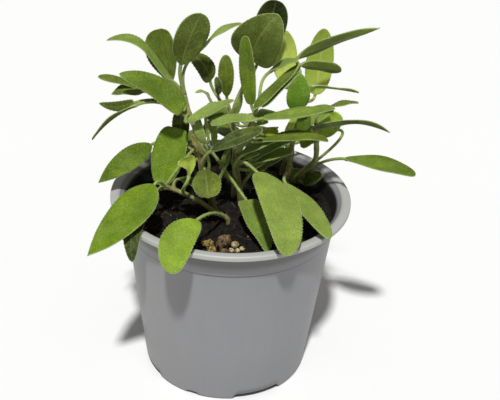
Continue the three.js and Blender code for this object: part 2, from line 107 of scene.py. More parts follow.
def bumps(material, shader, height, strength, depth):
    normal = wire(material, "Bump", {"Height": height, "Strength": strength, "Distance": depth * mm})
    plug(material, normal, shader, "Normal")


def objectPlace(material, scale=(1, 1, 1)):
    # millimetres of the part's frame
    place = wire(material, "TexCoord", {}, "Object")
    return wire(material, "Mapping", {"Vector": place, "Scale": tuple(share / mm for share in scale)})


def noiseOf(material, place, scale, detail=3.0, rough=0.55):
    return wire(material, "TexNoise", {"Vector": place, "Scale": scale, "Detail": detail,
                                       "Roughness": rough}, "Fac")


# Pieces

def meshFrom(name, bm):
    mesh = bpy.data.meshes.new(name)
    bm.to_mesh(mesh)
    bm.free()
    return mesh


def addObject(name, data):
    added = bpy.data.objects.new(name, data)
    scene.collection.objects.link(added)
    return added


def addPiece(name, bm, materials, nodes=(), smooth=True):
    for face in bm.faces:
        face.smooth = smooth
    piece = addObject(name, meshFrom(name, bm))
    for material in materials:
        piece.data.materials.append(material)
    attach(piece, "root")
    if nodes:
        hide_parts(*nodes)
    return piece


def facesOf(verts):
    return list({face for vert in verts for face in vert.link_faces})


# Camera, lamp, sky and floor

view = {"aim": (9.64, 0, 93.73), "distance": 463, "elevation": 29.64, "roll": 2.83, "lens": 66.24,
        "sensor": 36, "nearest": 0.01}
light = {
    "lampElevation": 60, "lampAzimuth": -3, "lampStrength": 4.3, "lampAngle": 4,
    "skyColour": (1.0, 0.985, 0.95), "skyStrength": 0.28,
    "floorSize": 8, "floorColour": (0.68, 0.68, 0.68), "floorMottle": (0.48, 0.48, 0.48),
}


def turned(elevation, roll=0, azimuth=0):
    # looks at the object from that height above the horizon, azimuth to the right of the front
    return (Matrix.Rotation(math.radians(azimuth), 4, "Z")
            @ Matrix.Rotation(math.radians(90 - elevation), 4, "X")
            @ Matrix.Rotation(math.radians(roll), 4, "Z"))


def setCamera():
    camera = addObject("camera", bpy.data.cameras.new("camera"))
    camera.data.lens = view["lens"]
    camera.data.sensor_width = view["sensor"]
    camera.data.clip_start = view["nearest"]
    aim = Matrix.Translation(Vector(view["aim"]) * mm)
    back = Matrix.Translation((0, 0, view["distance"] * mm))
    camera.matrix_world = aim @ turned(view["elevation"], view["roll"]) @ back
    bpy.context.scene.camera = camera


def setLamps():
    lamp = addObject("lamp", bpy.data.lights.new("lamp", "SUN"))
    lamp.data.energy = light["lampStrength"]
    lamp.data.angle = math.radians(light["lampAngle"])
    lamp.matrix_world = turned(light["lampElevation"], 0, light["lampAzimuth"])
    scene.world = bpy.data.worlds.new("sky")
    scene.world.use_nodes = True
    sky = scene.world.node_tree.nodes["Background"]
    sky.inputs["Color"].default_value = (*light["skyColour"], 1)
    sky.inputs["Strength"].default_value = light["skyStrength"]
    scene.view_settings.view_transform = "Standard"


def layFloor():
    bm = bmesh.new()
    bmesh.ops.create_grid(bm, x_segments=1, y_segments=1, size=light["floorSize"] / 2)
    floor = addObject("floor", meshFrom("floor", bm))
    material, shader = startMaterial("pale_floor", {"Roughness": 0.9})
    mottle = noiseOf(material, wire(material, "TexCoord", {}, "Object"), 6)
    colour = blendColours(material, fade(material, mottle, 0.3, 0.7, 0.0, 0.03),
                          light["floorColour"], light["floorMottle"])
    plug(material, colour, shader, "Base Color")
    floor.data.materials.append(material)


setCamera()
setLamps()
layFloor()
print("camera, lamp, sky and floor set")


# Grey pot

pot = {
    "height": 98, "rimRadius": 60, "lipHeight": 2.6, "lipWidth": 4, "edgeRound": 0.9, "mouthRound": 1.2,
    "wallTopRadius": 53.8, "baseRadius": 43, "baseRound": 1.4, "wall": 1.3, "collarHeight": 13,
    "collarStep": 0.6, "floor": 1.6, "footInner": 27, "footHeight": 5.4, "turnSteps": 240,
    "wideDrain": (25, 12.5, 3.4), "narrowDrain": (-20.5, 3.2, 2.0),   # angle, half length, height
    "drainHole": 3.5, "drainHoleRing": 36,
}
potLook = {
    "grey": tint(125, 126, 129), "cloud": tint(118, 119, 124), "dust": tint(144, 141, 133),
    # the darkest grey is painted shade under the lip and in the collar's lower corner; the palest is a
    # painted highlight on the lip
    "foot": tint(102, 101, 100), "paintedPotShade": tint(74, 72, 66), "lip": tint(164, 165, 160),
    "lipShadeFrom": 85.5, "lipShadeTo": 88.5, "innerDarkTop": 98.5, "innerDarkFull": 94,   # heights
}
quarters = (0, 90, 180, 270)
lipBottom = pot["height"] - pot["lipHeight"]
collarBottom = lipBottom - pot["collarHeight"]


def wallRadius(z):
    share = z / lipBottom
    return pot["baseRadius"] + (pot["wallTopRadius"] - pot["baseRadius"]) * share


def lathe(bm, outline, steps):
    # the outline is radius and height, from the axis round to the axis again
    corners = [bm.verts.new((radius * mm, 0, z * mm)) for radius, z in outline]
    line = [bm.edges.new(pair) for pair in zip(corners, corners[1:])]
    bmesh.ops.spin(bm, geom=corners + line, axis=(0, 0, 1), cent=(0, 0, 0), dvec=(0, 0, 0),
                   angle=2 * math.pi, steps=steps, use_merge=True, use_duplicate=False)
    bmesh.ops.remove_doubles(bm, verts=bm.verts[:], dist=1e-6)
    bmesh.ops.recalc_face_normals(bm, faces=bm.faces[:])


def roundedLine(corners):
    # each corner is radius, height and how far its rounding reaches back along both sides
    line = []
    for index, (radius, z, reach) in enumerate(corners):
        here = Vector((radius, z))
        if not reach:
            line.append(here)
            continue
        before = Vector(corners[index - 1][:2])
        after = Vector(corners[index + 1][:2])
        start = here + (before - here).normalized() * reach
        end = here + (after - here).normalized() * reach
        line += [point.to_2d() for point in geometry.interpolate_bezier(
            start.to_3d(), start.lerp(here, 0.6).to_3d(), end.lerp(here, 0.6).to_3d(), end.to_3d(), 5)]
    return line


def drainLift(x, y):
    # how far the underside is raised above the ground at this place
    lift = 0.0
    for turn in quarters:
        for angle, halfLength, height in (pot["wideDrain"], pot["narrowDrain"]):
            way = math.radians(angle + turn)
            outward = x * math.sin(way) - y * math.cos(way)
            sideways = abs(x * math.cos(way) + y * math.sin(way))
            if outward > pot["footInner"]:
                slope = max(0.0, min(1.0, (halfLength + 1.4 - sideways) / 2.8))
                ease = min(1.0, (outward - pot["footInner"]) / 4)
                lift = max(lift, height * ease * slope * slope * (3 - 2 * slope))
    return lift


def makePot():
    base, inner, step = pot["baseRadius"], pot["footInner"], pot["collarStep"]
    corners = [
        (0, 0, 0),
        (inner + 2, 0, 0),
        (inner + 8, 0, 0),
        (base - 4, 0, 0),
        (base, 0, pot["baseRound"]),
        *((wallRadius(z), z, 0) for z in (3, 7, 20, 45, 70)),
        (wallRadius(collarBottom), collarBottom, 0.3),
        (wallRadius(collarBottom) + step, collarBottom + 0.5, 0.3),
        (pot["wallTopRadius"] + step, lipBottom, 0.5),
        (pot["rimRadius"], lipBottom, 0.35),
        (pot["rimRadius"], pot["height"], pot["edgeRound"]),
        (pot["rimRadius"] - pot["lipWidth"], pot["height"], pot["mouthRound"]),
        (pot["wallTopRadius"] - pot["wall"], lipBottom - 1, 0.8),
        (wallRadius(pot["footHeight"] + 1) - pot["wall"], pot["footHeight"] + 1, 0),
        (base - pot["wall"] - 0.6, pot["footHeight"], 0),
        (inner, pot["footHeight"], 0),
        (inner - 1.5, pot["floor"], 0),
        (0, pot["floor"], 0),
    ]
    bm = bmesh.new()
    lathe(bm, roundedLine(corners), pot["turnSteps"])
    for vert in bm.verts:
        if vert.co.z < 3.01 * mm and vert.co.xy.length > inner * mm:
            lift = drainLift(vert.co.x / mm, vert.co.y / mm)
            vert.co.z = max(vert.co.z, lift * mm) + max(0, vert.co.z - lift * mm) * 0.15 * bool(lift)
    drillDrains(addPiece("grey_pot", bm, [potPlastic()], ["pot"]))


def drillDrains(piece):
    bm = bmesh.new()
    for turn in quarters:
        way = math.radians(turn + pot["wideDrain"][0])
        place = Vector((math.sin(way), -math.cos(way), 0)) * pot["drainHoleRing"] * mm
        bmesh.ops.create_cone(bm, cap_ends=True, segments=32, radius1=pot["drainHole"] * mm,
                              radius2=pot["drainHole"] * mm, depth=30 * mm,
                              matrix=Matrix.Translation(place))
    drill = addObject("drill", meshFrom("drill", bm))
    cut = piece.modifiers.new("drains", "BOOLEAN")
    cut.object = drill
    cut.operation = "DIFFERENCE"
    cut.solver = "EXACT"
    shaped = bpy.data.meshes.new_from_object(piece.evaluated_get(bpy.context.evaluated_depsgraph_get()))
    piece.modifiers.remove(cut)
    piece.data = shaped
    bpy.data.objects.remove(drill)


def potPlastic():
    material, shader = startMaterial("pot_grey_plastic", {
        "Specular IOR Level": 0.45, "Coat Weight": 0.12, "Coat Roughness": 0.35})
    place = objectPlace(material)
    side, height = partOf(material, place, 0), partOf(material, place, 2)
    flat = wire(material, "Mapping", {"Vector": place, "Scale": (1, 1, 0)})
    far = wire(material, "VectorMath", {0: flat}, "Value", operation="LENGTH")
    cloud = noiseOf(material, place, 0.035, 4)
    drag = noiseOf(material, objectPlace(material, (1, 1, 0.12)), 0.25, 4)
    scuff = noiseOf(material, place, 0.6, 5, 0.7)
    # dust in streaks and scuffs, a paler and warmer left side, and a darker foot
    shade = potLook["grey"]
    for value, start, end, most, layer in (
            (cloud, 0.3, 0.75, 0.35, "cloud"), (drag, 0.45, 0.8, 0.14, "dust"),
            (scuff, 0.62, 0.8, 0.3, "dust"), (height, 34, 2, 0.3, "foot"), (side, -10, -50, 0.3, "dust")):
        shade = blendColours(material, fade(material, value, start, end, 0.0, most), shade, potLook[layer])
    # the inner wall is darkened towards the soil's colour, with a ragged edge, up to the lip
    slope = (wallRadius(90) - wallRadius(0)) / 90
    outer = plus(material, times(material, height, slope), wallRadius(0))
    inside = sums(material, "LESS_THAN", far, sums(material, "SUBTRACT", outer, 0.6))
    raggedHeight = sums(material, "SUBTRACT", height, times(material, cloud, 9.0))
    innerDarkening = fade(material, raggedHeight, potLook["innerDarkTop"], potLook["innerDarkFull"], 0.7, 0.96)
    shade = blendColours(material, times(material, inside, innerDarkening), shade, soil["dark"])
    # painted shade under the lip, where the lip's shadow falls on the collar, a painted dark line in the
    # collar's lower corner, and a painted highlight that makes the lip paler
    under = times(material, fade(material, height, potLook["lipShadeFrom"], potLook["lipShadeTo"], 0.0, 0.62),
                  sums(material, "LESS_THAN", height, lipBottom + 0.2))
    offCorner = sums(material, "ABSOLUTE", sums(material, "SUBTRACT", height, collarBottom - 0.1))
    corner = fade(material, offCorner, 0.9, 0.3, 0.0, 0.55)
    outside = sums(material, "SUBTRACT", 1.0, inside)
    paintedPotShade = times(material, sums(material, "MAXIMUM", under, corner), outside)
    shade = blendColours(material, paintedPotShade, shade, potLook["paintedPotShade"])
    # painted highlight: the lip's top and outer face are made paler than the wall
    lipHighlight = times(material, sums(material, "GREATER_THAN", height, lipBottom + 0.2),
                 sums(material, "GREATER_THAN", far, pot["rimRadius"] - pot["lipWidth"] - 0.6))
    shade = blendColours(material, times(material, lipHighlight, 0.75), shade, potLook["lip"])
    plug(material, shade, shader, "Base Color")
    plug(material, fade(material, scuff, 0.3, 0.8, 0.42, 0.6), shader, "Roughness")
    grainy = plus(material, noiseOf(material, place, 2.2, 2), times(material, drag, 0.6))
    bumps(material, shader, grainy, 0.25, 0.08)
    return material


# Soil

soil = {
    "level": 88, "bump": 1.3, "gap": 0.3, "rings": 84, "turnSteps": 300, "lumps": 0.9,
    # the last colour is painted shade for the soil's hollows
    "dark": tint(15, 14, 11), "brown": tint(44, 38, 27), "fibre": tint(44, 38, 28), "paintedSoilShade": tint(5, 5, 4),
}
scatter = {
    "crumbs": 900, "crumbSize": (0.35, 1.3), "crumbMargin": 3, "crumbDark": tint(12, 10, 9),
    "crumbBrown": tint(34, 28, 20), "crumbSpeck": tint(120, 112, 88),
    "fibres": 100, "fibreLength": (3, 9), "fibreThickness": (0.1, 0.32), "fibreMargin": 5,
    "fibreDark": tint(16, 13, 10), "fibrePale": tint(74, 60, 44), "seed": 4,
}


def crumble(x, y):
    return (math.sin(0.31 * x + 1.3) * math.cos(0.27 * y) * 0.6
            + math.sin(0.83 * x + 0.47 * y) * 0.35
            + math.sin(1.7 * x) * math.sin(1.9 * y + 0.6) * 0.45)


def soilEdge(z):
    return wallRadius(z) - pot["wall"] - soil["gap"]


def soilHeight(x, y):
    # the part's own gentle ups and downs, with finer lumps on them
    ease = max(0.0, min(1.0, (soilEdge(soil["level"]) - math.hypot(x, y)) / 4))
    place = Vector((x, y, 0))
    lumps = noise.fractal(place * 0.35, 0.7, 2.1, 5) + 0.5 * abs(noise.noise(place * 1.1))
    return soil["level"] + ease * (soil["bump"] * crumble(x, y) + soil["lumps"] * lumps)


def makeSoil():
    top, low = soilEdge(soil["level"]), soilEdge(pot["footHeight"] + 3)
    foot, gap = pot["footHeight"], soil["gap"]
    outline = [(top * step / soil["rings"], soil["level"]) for step in range(soil["rings"] + 1)]
    outline += [(low, foot + 3), (low - 2, foot + gap), (pot["footInner"] - 0.5, foot + gap),
                (pot["footInner"] - 2, pot["floor"] + gap), (0, pot["floor"] + gap)]
    bm = bmesh.new()
    lathe(bm, outline, soil["turnSteps"])
    for vert in bm.verts:
        if vert.co.z > (soil["level"] - 0.1) * mm:
            vert.co.z = soilHeight(vert.co.x / mm, vert.co.y / mm) * mm
    addPiece("soil_block", bm, [soilMaterial()], ["soil"])


def soilMaterial():
    material, shader = startMaterial("potting_soil", {"Roughness": 0.97, "Specular IOR Level": 0.2})
    place = objectPlace(material)
    clods = noiseOf(material, place, 0.35, 6, 0.7)
    fine = noiseOf(material, place, 1.6, 5, 0.7)
    strands = noiseOf(material, objectPlace(material, (0.5, 1.6, 1)), 0.7, 4, 0.6)
    colour = blendColours(material, fade(material, clods, 0.42, 0.72), soil["dark"], soil["brown"])
    colour = blendColours(material, fade(material, strands, 0.6, 0.72, 0, 0.55), colour, soil["fibre"])
    # painted shade in the soil's hollows: where the fine noise is low, the colour goes almost to black
    colour = blendColours(material, fade(material, fine, 0.35, 0.55, 0.8, 0), colour, soil["paintedSoilShade"])
    plug(material, colour, shader, "Base Color")
    bumps(material, shader, plus(material, clods, fine), 0.9, 0.9)
    return material


def somewhere(shaker, margin):
    # a place on the soil that is at least the margin inside the wall
    far = (wallRadius(soil["level"]) - margin) * shaker.random() ** 0.5
    way = shaker.uniform(0, 2 * math.pi)
    return far * math.sin(way), far * math.cos(way)


def crumbMaterial():
    material, shader = startMaterial("soil_crumbs", {"Roughness": 0.95, "Specular IOR Level": 0.25})
    place = objectPlace(material)
    colour = blendColours(material, fade(material, noiseOf(material, place, 0.4, 2), 0.4, 0.62),
                          scatter["crumbDark"], scatter["crumbBrown"])
    speck = fade(material, noiseOf(material, place, 0.25, 1), 0.66, 0.7)
    colour = blendColours(material, speck, colour, scatter["crumbSpeck"])
    plug(material, colour, shader, "Base Color")
    bumps(material, shader, noiseOf(material, place, 2.5, 4), 0.8, 0.3)
    return material


def scatterCrumbs(shaker):
    bm = bmesh.new()
    for _ in range(scatter["crumbs"]):
        x, y = somewhere(shaker, scatter["crumbMargin"])
        size = shaker.uniform(*scatter["crumbSize"])
        sides = [shaker.uniform(*span) for span in ((0.7, 1.5), (0.6, 1.1), (0.5, 0.9))]
        turn = Euler([shaker.uniform(0, 6.3) for _ in range(3)]).to_matrix().to_4x4()
        place = Matrix.Translation(Vector((x, y, soilHeight(x, y) + size * 0.25)) * mm)
        made = bmesh.ops.create_icosphere(bm, subdivisions=1, radius=size * mm,
                                          matrix=place @ turn @ Matrix.Diagonal((*sides, 1)))
        for vert in made["verts"]:
            vert.co += noise.noise_vector(vert.co / mm * 1.3) * size * 0.35 * mm
    addPiece("soil_crumbs", bm, [crumbMaterial()], smooth=False)


def fibreMaterial():
    material, shader = startMaterial("peat_fibres", {"Roughness": 0.9})
    place = objectPlace(material)
    colour = blendColours(material, fade(material, noiseOf(material, place, 0.15, 2), 0.35, 0.65),
                          scatter["fibreDark"], scatter["fibrePale"])
    plug(material, colour, shader, "Base Color")
    bumps(material, shader, noiseOf(material, place, 3, 3), 0.5, 0.1)
    return material


def scatterFibres(shaker):
    bm = bmesh.new()
    for _ in range(scatter["fibres"]):
        x, y = somewhere(shaker, scatter["fibreMargin"])
        length, turn = shaker.uniform(*scatter["fibreLength"]), shaker.uniform(0, math.pi)
        bend, lift = shaker.uniform(-0.6, 0.6), shaker.uniform(0, 0.8)
        path = []
        for step in range(6):
            t = step / 5 - 0.5
            px = x + math.cos(turn + bend * t) * length * t
            py = y + math.sin(turn + bend * t) * length * t
            path.append(Vector((px, py, soilHeight(px, py) + 0.15 + lift * (t + 0.5))))
        thick = shaker.uniform(*scatter["fibreThickness"])
        tube(bm, path, [thick * share for share in (0.5, 1, 1, 0.9, 0.8, 0.3)], 4)
    addPiece("soil_fibres", bm, [fibreMaterial()])


def tube(bm, path, radii, sides, across=Vector((1, 0, 0))):
    # a closed round skin along the path, in millimetres; returns its corners with their step
    steps = len(path) - 1
    made = bmesh.ops.create_grid(bm, x_segments=steps, y_segments=sides, size=0.5)["verts"]
    rings, side = [], Vector(across)
    for index, centre in enumerate(path):
        along = (path[min(index + 1, steps)] - path[max(index - 1, 0)]).normalized()
        side = (side - along * side.dot(along)).normalized()
        rings.append((centre, side.copy(), side.cross(along), radii[index]))
    stepOf = {}
    for vert in made:
        step, turn = round((vert.co.x + 0.5) * steps), (vert.co.y + 0.5) * 2 * math.pi
        centre, sideways, up, radius = rings[step]
        vert.co = (centre + (sideways * math.cos(turn) + up * math.sin(turn)) * radius) * mm
        stepOf[vert] = step
    bmesh.ops.remove_doubles(bm, verts=made, dist=1e-8)
    made = [vert for vert in made if vert.is_valid]
    rims = [edge for edge in {edge for vert in made for edge in vert.link_edges} if edge.is_boundary]
    bmesh.ops.holes_fill(bm, edges=rims, sides=sides + 1)
    bmesh.ops.recalc_face_normals(bm, faces=facesOf(made))
    return {vert: stepOf[vert] for vert in made}


makePot()
print("pot turned and drilled")
makeSoil()
scatterCrumbs(random.Random(scatter["seed"]))
scatterFibres(random.Random(scatter["seed"] + 1))
print("soil, crumbs and fibres laid")


# Bark, pebble and grains on the soil: place, half sizes, turn, slot and how rough the surface is

loose = {
    "bark_chip": ((-1.6, -38.5, 92), (3.3, 2.4, 4.6), (0.2, 0.3, 0.4), "bark", 0.45),
    "bark_sliver": ((-1.2, -43, 90.2), (2.2, 1.2, 1.5), (0, 0.1, 0.2), "bark", 0.3),
    "crumb_left": ((-9, -37, 90), (2.8, 2.2, 1.8), (0, 0, 0.5), "crumb", 0.7),
    "crumb_front": ((-7, -42.5, 90), (2.3, 1.8, 1.6), (0.3, 0, 1.2), "crumb", 0.7),
    "pebble": ((3.6, -38, 90.8), (1.8, 1.6, 1.7), (0, 0, 0), "grit", 0.25),
    "grain_left": ((2.2, -41.6, 89.9), (1.3, 1.1, 1.1), (0, 0.4, 0.2), "grit", 0.3),
    "grain_middle": ((4.9, -41.6, 89.9), (1.2, 1.2, 1.1), (0.5, 0, 1), "grit", 0.3),
    "grain_right": ((7, -39.5, 89.8), (1.2, 1.3, 1), (0, 0, 2), "grit", 0.3),
}
# pale and dark colour, and how the grain is drawn out
looseLook = {
    "bark": (tint(122, 100, 68), tint(58, 46, 30), (1, 1, 0.25)),
    "crumb": (tint(150, 130, 66), tint(60, 50, 26), (1, 1, 1)),
    "grit": (tint(184, 172, 130), tint(106, 92, 62), (1, 1, 1)),
}


def looseMaterial(slot):
    pale, dark, grain = looseLook[slot]
    material, shader = startMaterial("loose_" + slot, {"Roughness": 0.9, "Specular IOR Level": 0.3})
    place = objectPlace(material, grain)
    patches = noiseOf(material, place, 0.9, 5, 0.65)
    plug(material, blendColours(material, fade(material, patches, 0.42, 0.58), dark, pale),
         shader, "Base Color")
    bumps(material, shader, noiseOf(material, place, 2.4, 5, 0.7), 0.8, 0.4)
    return material


def makeLoose():
    materials = {slot: looseMaterial(slot) for slot in looseLook}
    for name, (place, size, turn, slot, rough) in loose.items():
        turns = [Matrix.Rotation(angle, 4, axis) for angle, axis in zip(turn, "XYZ")]
        where = Matrix.Translation(Vector(place) * mm) @ turns[0] @ turns[1] @ turns[2]
        bm = bmesh.new()
        bmesh.ops.create_icosphere(bm, subdivisions=4, radius=1)
        for vert in bm.verts:
            spot = vert.co + Vector(place)
            dent = 1 + rough * (0.7 * noise.noise(spot * 1.7) + 0.45 * noise.noise(spot * 4.5))
            vert.co = Vector([side * part * mm for side, part in zip(size, vert.co * dent)])
        bm.transform(where)
        addPiece("loose_" + name, bm, [materials[slot]], [name])


makeLoose()
print("bark and grit placed")


# Sage

# how fast each form of leaf widens from its base and narrows to its tip
leafForms = {"oval": (0.6, 0.45), "round": (0.45, 0.4), "egg": (0.4, 0.55), "broad": (0.65, 0.35),
             "blunt": (0.4, 0.25), "heart": (0.25, 0.6), "pointed": (0.6, 1.0), "strap": (0.3, 0.35)}
# the tones are partly the leaves' own greens and partly painted light: the darkest are partly painted shade
# on leaves that sit in shadow, and the brightest, palest partly a painted backlight on leaves lit through
# from behind
leafTones = {
    "fresh": tint(119, 147, 38), "leafy": tint(82, 106, 7), "grass": tint(94, 122, 7),
    "vivid": tint(82, 122, 8), "mid": tint(86, 110, 18), "lime": tint(146, 172, 40),
    "yellow": tint(132, 146, 20), "paintedBacklight": tint(198, 212, 96), "pale": tint(158, 176, 66),
    "soft": tint(122, 142, 60), "silver": tint(122, 142, 68), "grey": tint(108, 130, 50),
    "dull": tint(80, 92, 26), "olive": tint(82, 98, 18), "deep": tint(68, 80, 13),
    "paintedLeafShade": tint(40, 50, 14), "dry": tint(112, 98, 54),
}
plainLeaf = {"up": (0, 0, 1), "form": "oval", "arch": 2, "peak": 0.5, "sway": 0, "cup": 12,
             "wave": 0.3, "stalk": 1.6, "rise": 0.3}


def leaf(tone, at, base, tip, width, **more):
    # at is where its stalk leaves the stem, 0 at the soil and 1 at the top
    return {**plainLeaf, "tone": tone, "at": at, "base": Vector(base), "tip": Vector(tip),
            "width": width, **more}


